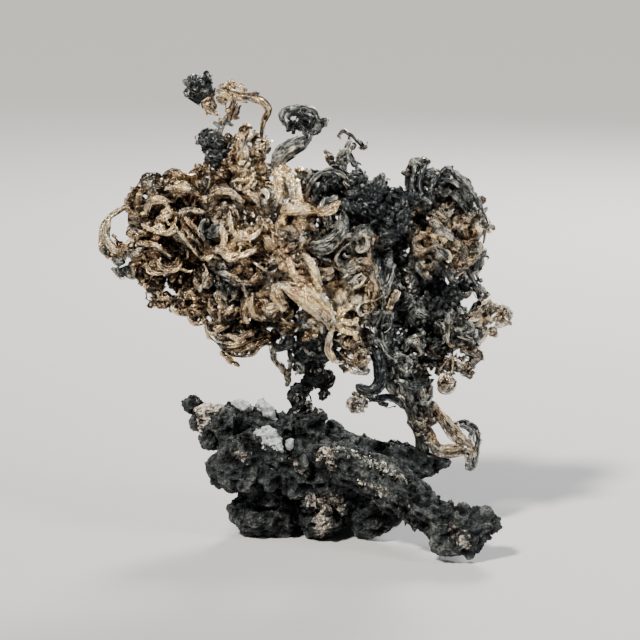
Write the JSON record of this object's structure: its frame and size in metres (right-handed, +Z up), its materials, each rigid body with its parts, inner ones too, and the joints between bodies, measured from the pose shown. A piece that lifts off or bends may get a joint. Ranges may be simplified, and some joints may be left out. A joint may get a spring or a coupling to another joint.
{
  "type": "native silver on acanthite mineral specimen",
  "caption": "Mineral specimen: a bush of curled silver wires and ribbons on short stems, standing on a lump of black acanthite with white calcite.",
  "frame": {"origin": "centre of the bounding box's underside, on the surface that the specimen rests on", "axes": "+Z up, +X to the right of the display side, +Y to the back"},
  "size_m": [0.0643, 0.0325, 0.0747],
  "materials": {
    "acanthite": "sooty, granular black to blue-grey silver sulphide",
    "bright_silver": "bright cream silver, worn clean on its ridges",
    "calcite": "opaque white calcite",
    "tarnished_silver": "grey tarnished silver with fine lengthwise striations",
    "warm_silver": "warm champagne tan silver with fine lengthwise striations and brown spots"
  },
  "bodies": {
    "root": {"acanthite_matrix": "acanthite", "calcite_grain_left": "calcite", "calcite_grain_right": "calcite", "calcite_crust_front": "calcite", "calcite_pebble": "calcite", "silver_patch_low": "warm_silver", "silver_patch_high": "warm_silver", "silver_ledge": "warm_silver", "silver_vein": "tarnished_silver", "silver_leaf_left": "warm_silver", "acanthite_knob": "acanthite", "left_stem": "acanthite", "right_stem": "tarnished_silver", "silver_trunk": "bright_silver", "top_curl": "tarnished_silver", "small_curl": "tarnished_silver", "arch_wire": "warm_silver", "left_loop": "warm_silver", "ring_curl": "tarnished_silver", "front_hook": "warm_silver", "hanging_hook": "acanthite", "hook_bead": "warm_silver", "stem_wire": "warm_silver", "foot_strands": "warm_silver", "foot_ring": "tarnished_silver", "high_tuft": "acanthite", "low_tuft": "acanthite", "dark_cluster": "acanthite", "crown_lobe": "warm_silver", "left_lobe": "warm_silver", "left_tassel": "warm_silver", "middle_lobe": "warm_silver", "lower_lobe": "warm_silver", "back_lobe_left": "tarnished_silver", "right_centre_lobe": "warm_silver", "under_lobe": "acanthite", "dark_wreath": "tarnished_silver", "front_tassel": "warm_silver", "right_lobe": "warm_silver", "right_horn": "tarnished_silver", "right_lower_lobe": "tarnished_silver", "right_arm": "warm_silver", "arm_drop": "warm_silver", "back_lobe_right": "tarnished_silver"}
  },
  "joints": []
}
